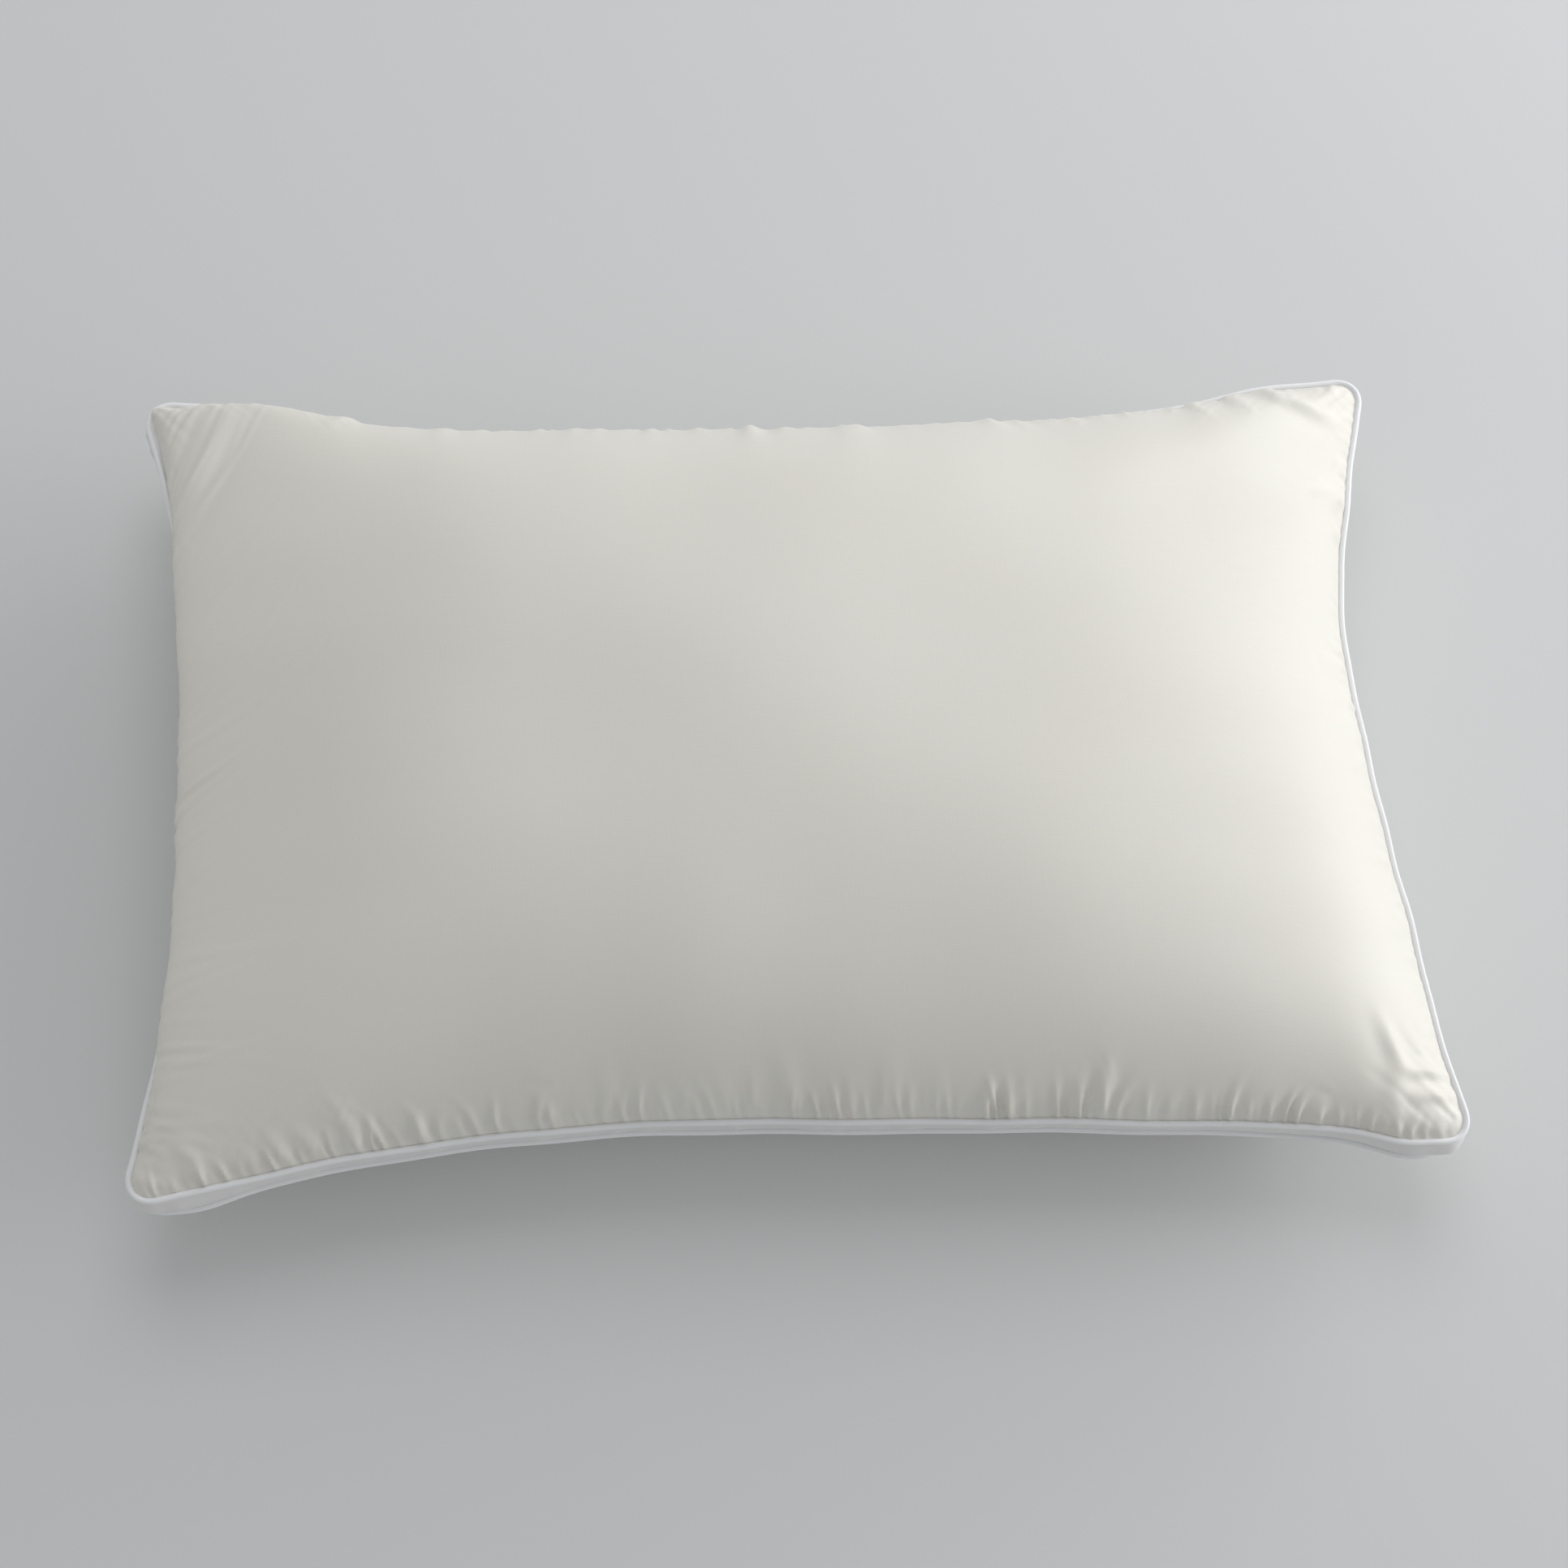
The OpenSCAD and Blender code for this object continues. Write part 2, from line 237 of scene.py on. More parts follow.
TOP_GATHERS = [
    (FRONT, gather_set(11, 0.350, 42, 0.0028, 0.013, 0.0026, 0.65)),
    (FRONT, gather_set(12, 0.330, 12, 0.0046, 0.032, 0.0032, 0.70)),
    (BACK, gather_set(21, 0.350, 46, 0.0032, 0.020, 0.0024, 0.70)),
    (BACK, gather_set(22, 0.330, 11, 0.0060, 0.042, 0.0032, 0.60)),
    (LEFT, gather_set(31, 0.220, 44, 0.0027, 0.026, 0.0028, 1.10, 0.20, 0.70)),
    (RIGHT, gather_set(41, 0.220, 38, 0.0028, 0.013, 0.0020, 0.20)),
    (RIGHT, gather_set(42, 0.200, 6, 0.0055, 0.034, 0.0026, 0.30)),
]
FINE_GATHERS = [
    (FRONT, gather_set(13, 0.352, 100, 0.0017, 0.0085, 0.0048, 0.45, 0.3)),
    (BACK, gather_set(23, 0.352, 108, 0.0018, 0.0070, 0.0020, 0.45, 0.3)),
    (LEFT, gather_set(33, 0.222, 110, 0.0016, 0.0400, 0.0014, 1.10, 0.3, 0.7)),
    (RIGHT, gather_set(43, 0.222, 60, 0.0022, 0.0060, 0.0018, 0.20, 0.2)),
]
CORNER_FOLDS = [
    (0.328, -0.186, 102, 0.0065, 0.015, 0.0024),
    (0.323, -0.208, 60, 0.0065, 0.013, 0.0022),
    (0.346, -0.197, 4, 0.0042, 0.015, 0.0024),
    (0.346, -0.210, 8, 0.0042, 0.014, 0.0024),
    (0.322, 0.214, -28, 0.0060, 0.028, 0.0040),
    (-0.325, 0.176, 62, 0.0070, 0.030, 0.0030),
]


# ---- Meshes -----------------------------------------------------------------------------------------
def grid_faces(rows, columns, flip, closed):
    i, j = np.meshgrid(np.arange(rows if closed else rows - 1), np.arange(columns - 1), indexing="ij")
    a, b = i * columns + j, ((i + 1) % rows) * columns + j
    quads = np.stack([a, b, b + 1, a + 1], -1).reshape(-1, 4)
    return quads[:, ::-1] if flip else quads


def new_piece(name, points, faces, uv=None, materials=()):
    """An object with smooth faces, and a UV map in metres of cloth."""
    mesh = bpy.data.meshes.new(name)
    mesh.from_pydata(points.reshape(-1, 3).tolist(), [], [[int(i) for i in face] for face in faces])
    mesh.polygons.foreach_set("use_smooth", [True] * len(mesh.polygons))
    if uv is not None:
        loops = np.empty(len(mesh.loops), np.int32)
        mesh.loops.foreach_get("vertex_index", loops)
        layer = mesh.uv_layers.new(name="cloth")
        layer.data.foreach_set("uv", uv.reshape(-1, 2)[loops].astype(np.float32).ravel())
    for material in materials:
        mesh.materials.append(material)
    mesh.update()
    piece = bpy.data.objects.new(name, mesh)
    bpy.context.scene.collection.objects.link(piece)
    return piece


def doubled(grid):
    """A grid with a point added between its rows, on a smooth curve through four of them."""
    long = np.concatenate([2 * grid[:1] - grid[1:2], grid, 2 * grid[-1:] - grid[-2:-1]])
    out = np.empty((2 * len(grid) - 1,) + grid.shape[1:])
    out[::2] = grid
    out[1::2] = (9 * (long[1:-2] + long[2:-1]) - long[:-3] - long[3:]) / 16
    return out


def refined(grid):
    """Four times as fine along the length, where the gathers are closest, and twice across."""
    return doubled(doubled(doubled(grid)).swapaxes(0, 1)).swapaxes(0, 1)


def grid_normals(grid):
    across = np.gradient(grid, axis=0)
    up = np.gradient(grid, axis=1)
    normal = np.cross(across, up)
    return normal / np.linalg.norm(normal, axis=-1, keepdims=True)


def on_edge(shape):
    edge = np.zeros(shape, bool)
    edge[[0, -1], :] = True
    edge[:, [0, -1]] = True
    return edge


# ---- The cloth --------------------------------------------------------------------------------------
def simulated(start, flat):
    """The panel blown up by the filling. The seam holds its edge, and its flat cut is the rest state."""
    scene = bpy.context.scene
    rows, columns = start.shape[:2]
    piece = new_piece("cloth", start, grid_faces(rows, columns, False, False))
    piece.shape_key_add(name="Basis")
    rest = piece.shape_key_add(name="flat")
    rest.data.foreach_set("co", flat.astype(np.float32).ravel())
    held = piece.vertex_groups.new(name="seam")
    held.add(np.nonzero(on_edge((rows, columns)).ravel())[0].tolist(), 1.0, "REPLACE")
    cloth = piece.modifiers.new("Cloth", "CLOTH")
    s = cloth.settings
    s.quality = 5
    s.mass = 0.3
    s.tension_stiffness, s.compression_stiffness, s.shear_stiffness = 40, 25, 12
    s.bending_stiffness = 0.02
    s.tension_damping = s.compression_damping = s.shear_damping = 10
    s.bending_damping = 0.5
    s.air_damping = 2
    s.vertex_group_mass = "seam"
    s.pin_stiffness = 1
    s.rest_shape_key = rest
    s.use_pressure = True
    s.uniform_pressure_force = PRESSURE
    s.effector_weights.gravity = 0
    cloth.collision_settings.use_collision = False
    cloth.collision_settings.use_self_collision = False
    cloth.point_cache.frame_start = 1
    cloth.point_cache.frame_end = SIM_FRAMES
    for step in range(1, SIM_FRAMES + 1):
        scene.frame_set(step)
    shape = piece.evaluated_get(bpy.context.evaluated_depsgraph_get())
    points = np.empty(len(shape.data.vertices) * 3, np.float32)
    shape.data.vertices.foreach_get("co", points)
    bpy.data.objects.remove(piece, do_unlink=True)
    scene.frame_set(1)
    return points.reshape(start.shape).astype(float)


def panel_grids():
    u, v = np.meshgrid(*[np.linspace(-1, 1, n + 1) for n in PANEL_CELLS], indexing="ij")
    p, q = rounded(u, v)
    return u, v, p * FLAT_LENGTH, q * FLAT_WIDTH


def top_shape(u, v, fx, fy):
    """The top panel's points before its fine gathers."""
    d = dome(u, v)
    start = place(u, v, 1, CROWN * d, FILL_SHIFT * np.sqrt(d))
    relief = gathered(fx, fy, TOP_GATHERS, GATHER_START)
    start += relief[..., None] * grid_normals(start)
    start[on_edge(u.shape)] = place(u, v, 1)[on_edge(u.shape)]
    return simulated(start, np.stack([fx, fy, relief], -1))


def swells(fx, fy):
    """Slow unevenness of the filling."""
    return (0.0011 * np.sin(17 * fx + 1.0) * np.cos(13 * fy - 0.6)
            + 0.0008 * np.sin(31 * fx - 9 * fy + 2.0) + 0.0006 * np.cos(23 * fx + 27 * fy))


def smoothed(points, away):
    """The filling presses small creases out of the middle of a panel, but not out of its edges."""
    rounds, kept, fade = 24, 0.010, 0.032
    soft = points.copy()
    for _ in range(rounds):
        beside = soft[:-2, 1:-1] + soft[2:, 1:-1] + soft[1:-1, :-2] + soft[1:-1, 2:]
        soft[1:-1, 1:-1] = (soft[1:-1, 1:-1] + beside / 4) / 2
    share = np.clip((away - kept) / fade, 0, 1)[..., None]
    share = share * share * (3 - 2 * share)
    return points + share * (soft - points)


def overhang(fx, fy):
    """How far the settled filling pushes the panel out over the left seam, and over part of the back one."""
    fullest, left_push, back_push = 0.024, 0.021, 0.013
    left, back = (fx + FLAT_LENGTH) / fullest, (FLAT_WIDTH - fy) / fullest
    middle = (1 - (fy / FLAT_WIDTH) ** 2).clip(0)
    out = np.zeros(fx.shape + (3,))
    out[..., 0] = -left_push * (left * np.exp(1 - left)) ** 2 * middle
    out[..., 1] = back_push * (back * np.exp(1 - back)) ** 2 * bell(fx / FLAT_LENGTH + 0.82, 0.22)
    return out


def make_top_panel(material):
    """The panel, and its points at the spacing of panel_grids."""
    u, v, fx, fy = panel_grids()
    away = np.minimum(FLAT_LENGTH - np.abs(fx), FLAT_WIDTH - np.abs(fy))
    coarse = smoothed(top_shape(u, v, fx, fy), away)
    coarse += overhang(fx, fy)
    points, fx, fy = refined(coarse), refined(fx), refined(fy)
    inner = dome(fx / FLAT_LENGTH, fy / FLAT_WIDTH)
    relief = gathered(fx, fy, FINE_GATHERS, FINE_GATHER_START)
    relief = relief + folded(fx, fy, CORNER_FOLDS) + inner * swells(fx, fy)
    edge = points[on_edge(fx.shape)]
    points = points + relief[..., None] * grid_normals(points)
    points[on_edge(fx.shape)] = edge
    faces = grid_faces(*fx.shape, False, False)
    return new_piece("top_cloth", points, faces, np.stack([fx, fy], -1), [material]), points[::4, ::2]


def make_bottom_panel(material, top):
    """The same cut of cloth turned over end for end, pressed flat by the bed."""
    u, v, fx, fy = panel_grids()
    d = dome(u, v)
    above = place(u, v, 1, CROWN * d, FILL_SHIFT * np.sqrt(d))
    change = (top - above)[::-1, ::-1] * (-1, -1, -BELLY / CROWN)
    points = place(u, v, -1, -BELLY * d) + change * np.minimum(1, 6 * d)[..., None]
    soft = 0.004
    points[..., 2] = CLOTH + soft * np.logaddexp(0, (points[..., 2] - CLOTH) / soft)
    points[on_edge(u.shape)] = place(u, v, -1)[on_edge(u.shape)]
    faces = grid_faces(*fx.shape, True, False)
    return new_piece("bottom_cloth", points, faces, np.stack([fx, fy], -1), [material]), points


def gusset_points(side, t, rows):
    """The side band's surface: a soft bow, fuller at the corners, with short upright ripples."""
    bow, corner_bow = 0.0024, 0.0030
    low, high, out = seam(t, -1), seam(t, 1), outward_at(t, 0)
    s = 2 * (t - side) - 1
    half = HALF_LENGTH if side in (FRONT, BACK) else HALF_WIDTH
    rng = np.random.RandomState(60 + side)
    ripple = np.zeros((len(t), len(rows)))
    for at in rng.uniform(-1, 1, 40):
        x = ((s[:, None] - at) * half - rng.uniform(-0.006, 0.006) * rows[None]) / rng.uniform(0.0025, 0.006)
        ripple += rng.uniform(0.0002, 0.0008) * np.exp(-x * x)
    depth = bow + corner_bow * np.abs(s[:, None]) ** 8 + ripple
    depth = depth * (1 - np.abs(2 * rows[None] - 1) ** 1.5)
    return low[:, None] + (high - low)[:, None] * rows[None, :, None] + out[:, None] * depth[..., None]


def make_gusset(name, side, material):
    t, run = seam_places(GUSSET_STEP, side, side + 1)
    rows = np.linspace(0, 1, 13)
    points = gusset_points(side, np.clip(t, side, side + 1 - 1e-9), rows)
    uv = np.stack(np.broadcast_arrays(run[:, None], GUSSET * rows[None]), -1)
    return new_piece(name, points, grid_faces(*points.shape[:2], False, False), uv, [material])


def swept_round(name, level, spacing, profile, creases, material):
    """A closed sweep round a seam. profile holds places outwards and upwards of the seam."""
    t, run = seam_places(spacing)
    t, run = t[:-1], run[:-1]
    out = outward_at(t, level)
    swell = 1 + creases(run[:, None], np.linspace(0, 2 * math.pi, len(profile))[None])
    middle = np.array((0.75 * PIPING / 2, 0))
    ring = middle + swell[..., None] * (profile - middle)
    points = seam(t, level)[:, None] + ring[..., :1] * out[:, None] + ring[..., 1:] * np.array([0, 0, 1.0])
    around = np.linspace(0, math.pi * PIPING, len(profile))
    uv = np.stack(np.broadcast_arrays(run[:, None], around[None]), -1)
    return new_piece(name, points, grid_faces(*swell.shape, True, True), uv, [material])


def make_piping(name, level, material):
    """A strip of cloth folded round the cord, with faint slanting creases and a flange inside the pillow."""
    turn = np.linspace(-0.93 * math.pi, 0.93 * math.pi, 17)
    tube = PIPING / 2 * np.stack([0.75 + np.cos(turn), np.sin(turn)], -1)
    flange = np.array([(-ALLOWANCE, 0.0002), (-ALLOWANCE, -0.0002)])

    def creases(run, turn):
        fine = 0.018 * np.sin(run / 0.0016 + 1.5 * turn) * np.sin(run / 0.021)
        return fine + 0.03 * np.sin(run / 0.013 + turn)

    profile = np.concatenate([tube, flange, tube[:1]])
    return swept_round(name, level, PIPING_STEP, profile, creases, material)


def make_cord(name, level, material):
    """Three twisted strands inside the piping."""
    turn = np.linspace(0, 2 * math.pi, 13)
    profile = np.stack([0.75 * PIPING / 2 + CORD / 2 * np.cos(turn), CORD / 2 * np.sin(turn)], -1)

    def strands(run, turn):
        return 0.08 * np.cos(3 * (turn - run / 0.003))

    return swept_round(name, level, CORD_STEP, profile, strands, material)


def threads(name, paths, closed, material):
    """Round threads along paths of points, in one mesh."""
    sides = 5
    turn = (np.arange(sides) * 2 * math.pi / sides)[None, :, None]
    points, faces = [], []
    for path in paths:
        first, n = sum(len(p) for p in points), len(path)
        ahead = np.roll(path, -1, 0) - np.roll(path, 1, 0) if closed else np.gradient(path, axis=0)
        beside = np.cross(ahead, (0.31, 0.17, 1.0))
        above = np.cross(beside, ahead)
        beside /= np.linalg.norm(beside, axis=1, keepdims=True)
        above /= np.linalg.norm(above, axis=1, keepdims=True)
        ring = np.cos(turn) * beside[:, None] + np.sin(turn) * above[:, None]
        points.append((path[:, None] + THREAD / 2 * ring).reshape(-1, 3))
        for i in range(n if closed else n - 1):
            a, b = first + i * sides, first + (i + 1) % n * sides
            faces += [(a + j, a + (j + 1) % sides, b + (j + 1) % sides, b + j) for j in range(sides)]
        if not closed:
            faces.append(tuple(first + sides - 1 - j for j in range(sides)))
            faces.append(tuple(first + (n - 1) * sides + j for j in range(sides)))
    return new_piece(name, np.concatenate(points), faces, None, [material])


def stitched(t, share=0.86):
    """Places along each stitch between neighbouring needle holes."""
    return t[:-1, None] + np.diff(t)[:, None] * np.linspace(1 - share, share, 4)[None]


def make_seam_threads(name, level, material):
    """Lockstitches just inside the seam."""
    inside, drop = 0.0018, 0.0008
    along = stitched(seam_places(SEAM_STITCH)[0])
    flat = along.ravel()
    points = seam(flat, level) - inside * outward_at(flat, level)
    points[:, 2] -= level * drop
    return threads(name, points.reshape(*along.shape, 3), False, material)


def make_overlock(name, level, material):
    """Thread that zigzags round the raw edges of the seam allowance."""
    t = seam_places(OVERLOCK_STEP)[0][:-1]
    t = t[:len(t) // 4 * 4]
    turn = np.arange(len(t))
    reach = ALLOWANCE - 0.0012 + 0.0016 * np.sin(turn * math.pi / 2)
    points = seam(t, level) - reach[:, None] * outward_at(t, level)
    points[:, 2] += 0.0008 * np.cos(turn * math.pi / 2)
    return threads(name, [points], True, material)


def make_corner_threads(material):
    """Upright joins between the four strips of the side band."""
    rows = stitched(np.linspace(0.08, 0.92, 8))
    paths = []
    for side in range(4):
        line = gusset_points(side, np.array([side + 1e-6]), rows.ravel())[0]
        line = line - 0.0006 * outward_at(np.array([side + 1e-6]), 0)
        paths += list(line.reshape(*rows.shape, 3))
    return threads("gusset_corner_stitches", paths, False, material)


def make_closing_threads(material):
    """Topstitching that shuts the opening through which the pillow was filled."""
    first, last, row, outside = BACK + 0.36, BACK + 0.64, 0.195, 0.0002
    along = stitched(seam_places(CLOSING_STITCH, first, last)[0])
    flat = along.ravel()
    points = gusset_points(BACK, flat, np.array([row]))[:, 0] + outside * outward_at(flat, 0)
    return threads("closing_stitches", points.reshape(*along.shape, 3), False, material)


def make_label(material):
    """A blank tape folded in half, caught under the lower piping at the back."""
    t = np.array([BACK + 0.715])
    root, out = seam(t, -1)[0], outward_at(t, -1)[0]
    along = np.cross((0, 0, 1.0), out)
    rows, caught = 24, -0.15
    y = np.concatenate([np.linspace(caught, 1, rows), [1.012], np.linspace(1, caught, rows)])[:, None]
    x = np.linspace(-0.5, 0.5, 17)[None] + 0 * y
    upper = np.concatenate([np.zeros(rows), [0.5], np.ones(rows)])[:, None]
    drop = -0.0030 - 0.004 * y ** 2 + 0.0012 * np.sin(5 * x + 1) * y + 0.0007 * upper
    points = root + along * (LABEL_WIDTH * x)[..., None] + out * (LABEL_LENGTH * y)[..., None]
    points[..., 2] += drop
    uv = np.stack([LABEL_WIDTH * x, LABEL_LENGTH * (y + upper) + 0 * x], -1)
    piece = new_piece("label", points, grid_faces(*x.shape, False, False), uv, [material])
    return piece


def inner_face(panel, depth, way):
    """A surface that follows a panel inside the pillow, and ends at the bag's own seam."""
    points = (panel - way * depth * grid_normals(panel))[::2, ::2]
    u, v = np.meshgrid(*[np.linspace(-1, 1, n) for n in points.shape[:2]], indexing="ij")
    edge = on_edge(u.shape)
    points[edge] = place(u * (1 - BAG_INSET / HALF_LENGTH), v * (1 - BAG_INSET / HALF_WIDTH), 0)[edge]
    return points


def make_bag_face(name, panel, way, material):
    points = inner_face(panel, BAG_DEPTH, way)
    uv = np.stack(np.meshgrid(*[np.linspace(0, 2 * half, n) for half, n in
                                zip((FLAT_LENGTH, FLAT_WIDTH), points.shape)], indexing="ij"), -1)
    return new_piece(name, points, grid_faces(*points.shape[:2], way < 0, False), uv, [material])


def make_bag_threads(material):
    along = stitched(seam_places(BAG_STITCH)[0])
    u, v = square_edge(along.ravel())
    points = place(u * (1 - BAG_INSET / HALF_LENGTH), v * (1 - BAG_INSET / HALF_WIDTH), 0)
    return threads("bag_stitches", points.reshape(*along.shape, 3), False, material)


def make_filling(top, bottom, material):
    """The mass of fibre, which fills the bag."""
    sheets = [inner_face(top, FIBRE_DEPTH, 1), inner_face(bottom, FIBRE_DEPTH, -1)]
    rows, columns = sheets[0].shape[:2]
    upper, lower = grid_faces(rows, columns, False, False), grid_faces(rows, columns, True, False)
    points = np.concatenate([sheet.reshape(-1, 3) for sheet in sheets])
    piece = new_piece("fibre", points, np.concatenate([upper, lower + rows * columns]), None, [material])
    solid = bmesh.new()
    solid.from_mesh(piece.data)
    bmesh.ops.remove_doubles(solid, verts=solid.verts, dist=1e-6)
    solid.to_mesh(piece.data)
    solid.free()
    return piece


# ---- Materials --------------------------------------------------------------------------------------
def principled(name, base, roughness, **settings):
    material = bpy.data.materials.new(name)
    material.use_nodes = True
    shader = material.node_tree.nodes["Principled BSDF"]
    shader.inputs["Base Color"].default_value = (*base, 1)
    shader.inputs["Roughness"].default_value = roughness
    for key, value in settings.items():
        shader.inputs[key.replace("_", " ")].default_value = value
    return material


def sateen(name, base, tint, roughness, sheen, yarn=0.0003):
    """Satin-woven cotton: fine floats across the cloth, faint slubs and a soft sheen."""
    material = principled(name, base, roughness, Sheen_Weight=sheen, Sheen_Roughness=0.35,
                          Specular_IOR_Level=0.45)
    nodes, links = material.node_tree.nodes, material.node_tree.links
    shader = nodes["Principled BSDF"]
    uv = nodes.new("ShaderNodeUVMap")
    uv.uv_map = "cloth"

    def mapped(scale):
        mapping = nodes.new("ShaderNodeMapping")
        mapping.inputs["Scale"].default_value = scale
        links.new(uv.outputs["UV"], mapping.inputs["Vector"])
        return mapping.outputs["Vector"]

    def noise(vector, scale, detail=2.0):
        node = nodes.new("ShaderNodeTexNoise")
        node.inputs["Scale"].default_value = scale
        node.inputs["Detail"].default_value = detail
        links.new(vector, node.inputs["Vector"])
        return node.outputs["Fac"]

    def ranged(value, low, high):
        node = nodes.new("ShaderNodeMapRange")
        node.inputs["To Min"].default_value = low
        node.inputs["To Max"].default_value = high
        links.new(value, node.inputs["Value"])
        return node.outputs["Result"]

    def combined(kind, a, b):
        node = nodes.new("ShaderNodeMath")
        node.operation = kind
        links.new(a, node.inputs[0])
        links.new(b, node.inputs[1])
        return node.outputs["Value"]

    slubs = noise(mapped((40, 900, 1)), 1.0, 3.0)
    ends = noise(mapped((1400, 60, 1)), 1.0, 2.0)
    grain = noise(mapped((1, 1, 1)), 0.6 / yarn, 1.0)
    clouds = noise(mapped((1, 1, 1)), 9.0, 2.0)
    mix = nodes.new("ShaderNodeMix")
    mix.data_type = "RGBA"
    mix.inputs["A"].default_value = (*base, 1)
    mix.inputs["B"].default_value = (*tint, 1)
    shade = combined("ADD", ranged(slubs, 0.0, 0.45), ranged(clouds, 0.0, 0.55))
    links.new(shade, mix.inputs["Factor"])
    links.new(mix.outputs["Result"], shader.inputs["Base Color"])
    weave = combined("ADD", slubs, ends)
    links.new(ranged(weave, roughness - 0.05, roughness + 0.03), shader.inputs["Roughness"])
    bump = nodes.new("ShaderNodeBump")
    bump.inputs["Strength"].default_value = 0.25
    bump.inputs["Distance"].default_value = 0.00012
    links.new(combined("ADD", weave, grain), bump.inputs["Height"])
    links.new(bump.outputs["Normal"], shader.inputs["Normal"])
    return material


def spun(name, base, roughness, scale):
    """Fibres: matt, with a fine uneven surface."""
    material = principled(name, base, roughness, Sheen_Weight=0.2)
    nodes, links = material.node_tree.nodes, material.node_tree.links
    shader = nodes["Principled BSDF"]
    coordinates = nodes.new("ShaderNodeTexCoord")
    fibres = nodes.new("ShaderNodeTexNoise")
    fibres.inputs["Scale"].default_value = scale
    fibres.inputs["Detail"].default_value = 3
    fibres.inputs["Distortion"].default_value = 1.5
    links.new(coordinates.outputs["Object"], fibres.inputs["Vector"])
    bump = nodes.new("ShaderNodeBump")
    bump.inputs["Strength"].default_value = 0.4
    bump.inputs["Distance"].default_value = 0.0003
    links.new(fibres.outputs["Fac"], bump.inputs["Height"])
    links.new(bump.outputs["Normal"], shader.inputs["Normal"])
    mix = nodes.new("ShaderNodeMix")
    mix.data_type = "RGBA"
    mix.inputs["A"].default_value = (*(0.94 * value for value in base), 1)
    mix.inputs["B"].default_value = (*base, 1)
    links.new(fibres.outputs["Fac"], mix.inputs["Factor"])
    links.new(mix.outputs["Result"], shader.inputs["Base Color"])
    return material


# ---- Stage, light and camera ------------------------------------------------------------------------
def area_light(name, place, power):
    """A soft square light that faces the pillow."""
    light = bpy.data.lights.new(name, "AREA")
    light.shape = "SQUARE"
    light.size = 1.6
    light.energy = power
    lamp = bpy.data.objects.new(name, light)
    bpy.context.scene.collection.objects.link(lamp)
    lamp.location = place
    lamp.rotation_euler = (Vector((0, 0, 0.1)) - Vector(place)).to_track_quat("-Z", "Y").to_euler()


def make_stage():
    corners = 6.0 * np.array([(-1, -1, 0), (1, -1, 0), (1, 1, 0), (-1, 1, 0)])
    floor = new_piece("floor", corners, [(0, 1, 2, 3)])
    floor.data.materials.append(principled("floor_paint", (0.685, 0.695, 0.697), 0.9))
    area_light("window", (2.54, 0.0, 0.64), 33.0)
    area_light("far_window", (1.80, 1.80, 0.64), 23.5)
    area_light("ceiling", (0.0, 1.30, 2.35), 13.5)
    world = bpy.data.worlds.new("room")
    world.use_nodes = True
    world.node_tree.nodes["Background"].inputs["Color"].default_value = (0.97, 0.985, 1.0, 1)
    world.node_tree.nodes["Background"].inputs["Strength"].default_value = 0.45
    bpy.context.scene.world = world
    bpy.context.scene.view_settings.view_transform = "Standard"


def make_camera():
    """Looks down steeply from the front, a little from the left, and held with a tilt."""
    elevation, azimuth, roll = math.radians(70.6), math.radians(14.9), math.radians(12.2)
    distance, aim = 1.318, Vector((-0.0043, -0.0170, 0.090))
    camera = bpy.data.cameras.new("camera")
    camera.sensor_width = 36
    camera.lens = 56.3
    holder = bpy.data.objects.new("camera", camera)
    bpy.context.scene.collection.objects.link(holder)
    ahead = Vector((math.sin(azimuth) * math.cos(elevation), math.cos(azimuth) * math.cos(elevation),
                    -math.sin(elevation)))
    level = Vector((math.cos(azimuth), -math.sin(azimuth), 0))
    above = level.cross(ahead)
    right = level * math.cos(roll) + above * math.sin(roll)
    turn = Matrix((right, right.cross(ahead), -ahead)).transposed()
    holder.matrix_world = Matrix.Translation(aim - distance * ahead) @ turn.to_4x4()
    bpy.context.scene.camera = holder


# ---- The pieces -------------------------------------------------------------------------------------
def fitted(piece, slot, *nodes):
    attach(piece, "root")
    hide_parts(*nodes)


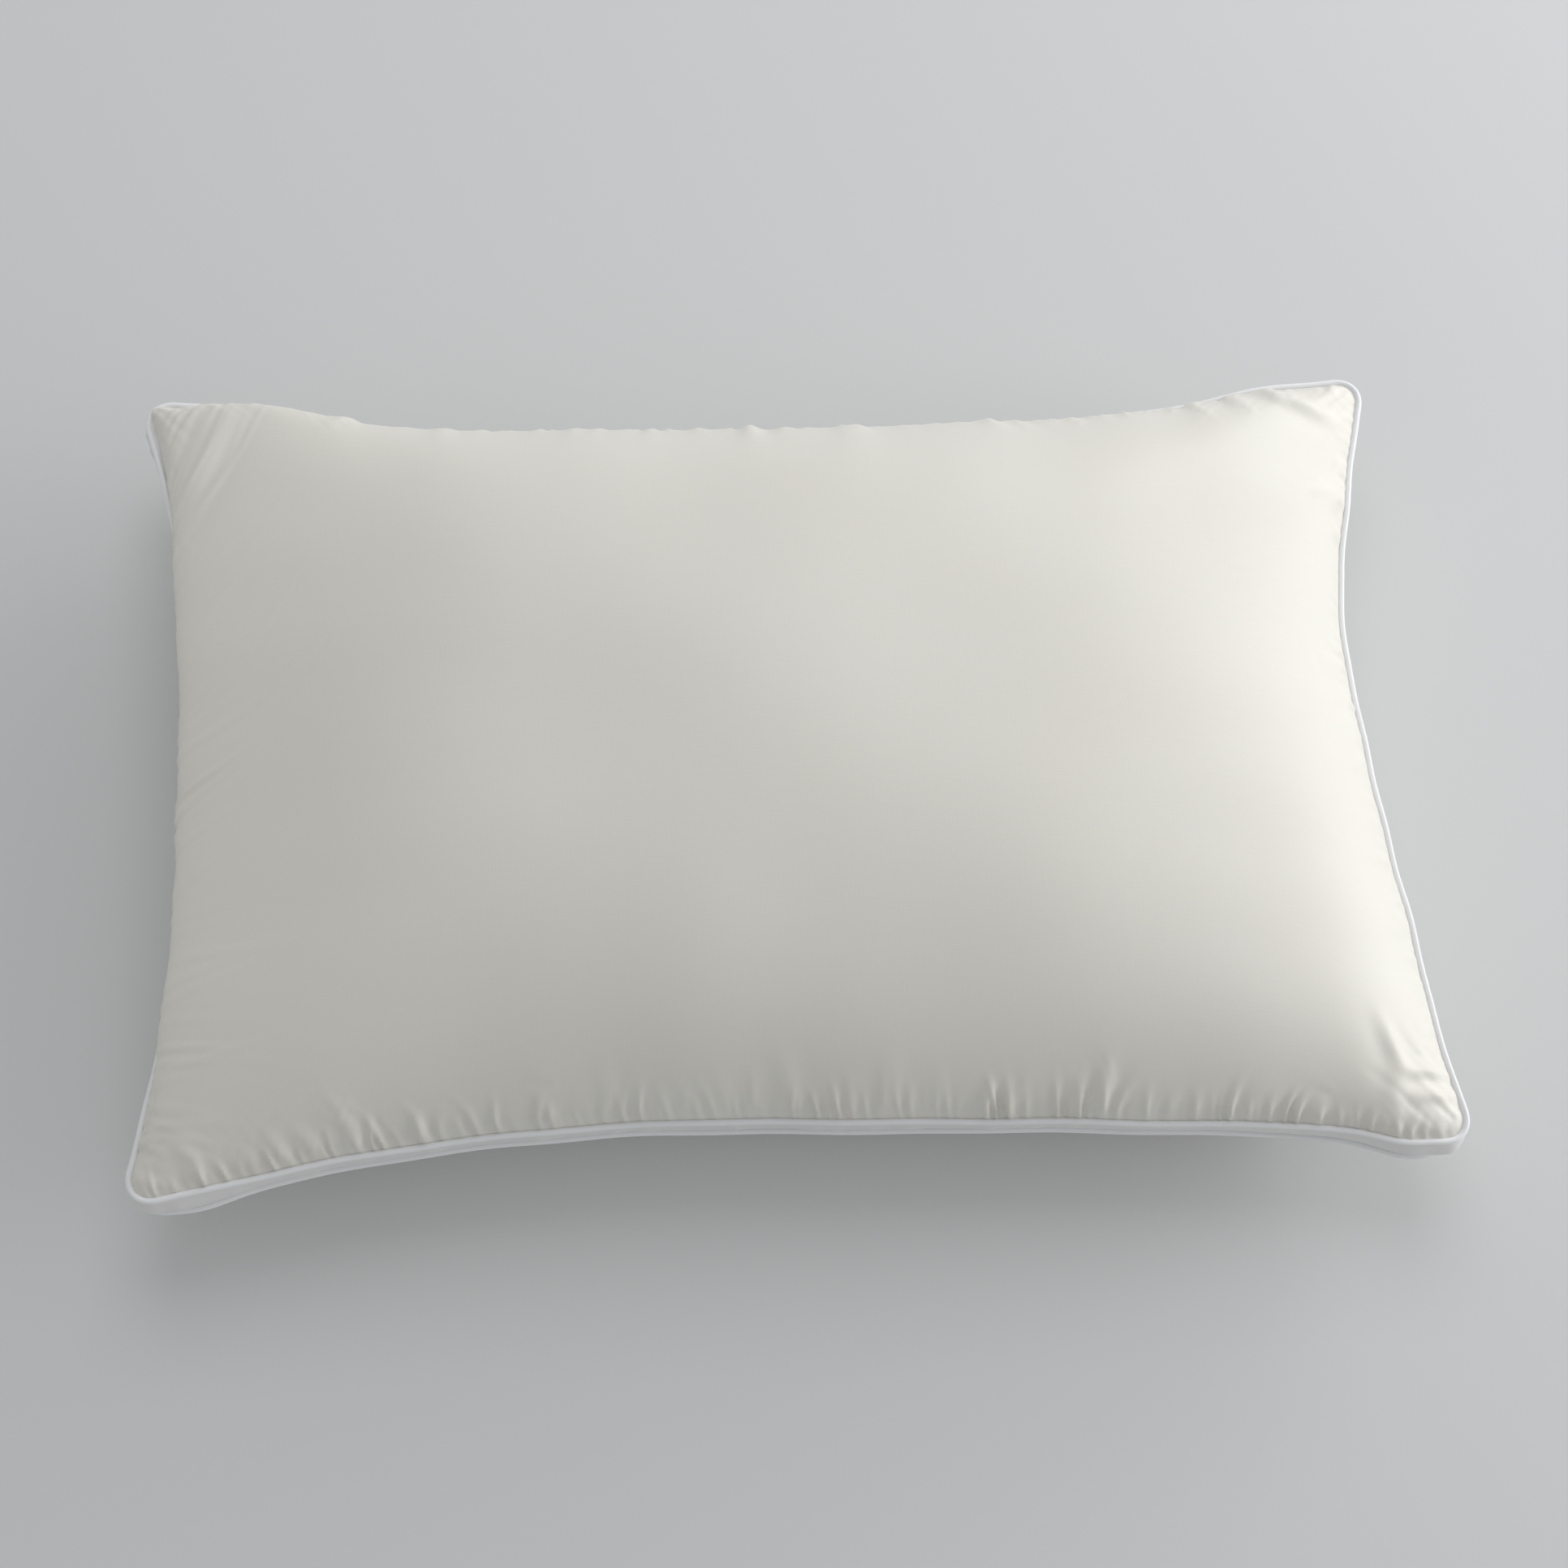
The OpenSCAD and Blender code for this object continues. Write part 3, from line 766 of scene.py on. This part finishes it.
def make_pillow():
    ivory = sateen("panel_sateen", (0.80, 0.785, 0.735), (0.76, 0.735, 0.665), 0.42, 0.25)
    white = sateen("gusset_sateen", (0.82, 0.82, 0.80), (0.78, 0.775, 0.75), 0.45, 0.2)
    bright = sateen("piping_sateen", (0.88, 0.885, 0.90), (0.84, 0.845, 0.86), 0.40, 0.3)
    tape = sateen("label_tape", (0.84, 0.84, 0.82), (0.80, 0.80, 0.78), 0.6, 0.1)
    bag = spun("nonwoven_bag", (0.80, 0.80, 0.79), 0.8, 900)
    fibre = spun("fibre_filling", (0.86, 0.86, 0.85), 0.9, 260)
    cotton = spun("cotton_cord", (0.82, 0.81, 0.77), 0.8, 1500)
    thread = spun("sewing_thread", (0.86, 0.86, 0.84), 0.5, 3000)
    top, above = make_top_panel(ivory)
    bottom, below = make_bottom_panel(ivory, above)
    for piece, node in ((top, "top_panel"), (bottom, "bottom_panel")):
        fitted(piece, "panel_sateen", node)
    for side, name in enumerate(("front", "right", "back", "left")):
        strip = make_gusset(f"{name}_band", side, white)
        fitted(strip, "gusset_sateen", f"{name}_gusset")
    for level, name in ((1, "upper"), (-1, "lower")):
        fitted(make_piping(f"{name}_piping", level, bright), "piping_sateen", f"{name}_piping_cover")
        fitted(make_cord(f"{name}_cord", level, cotton), "cotton_cord", f"{name}_piping_cord")
        stitches = make_seam_threads(f"{name}_seam_stitches", level, thread)
        fitted(stitches, "sewing_thread", f"{name}_seam_thread")
        fitted(make_overlock(f"{name}_overlock", level, thread), "sewing_thread", f"{name}_overlock_thread")
    fitted(make_corner_threads(thread), "sewing_thread", "gusset_corner_threads")
    fitted(make_closing_threads(thread), "sewing_thread", "closing_seam_thread")
    fitted(make_label(tape), "label_tape", "care_label")
    for panel, way, name in ((above, 1, "upper"), (below, -1, "lower")):
        piece = make_bag_face(f"{name}_bag", panel, way, bag)
        fitted(piece, "nonwoven_bag", f"bag_{name}")
    fitted(make_bag_threads(thread), "sewing_thread", "bag_seam_thread")
    filling = make_filling(above, below, fibre)
    fitted(filling, "fibre_filling", "filling")


make_camera()
make_stage()
make_pillow()
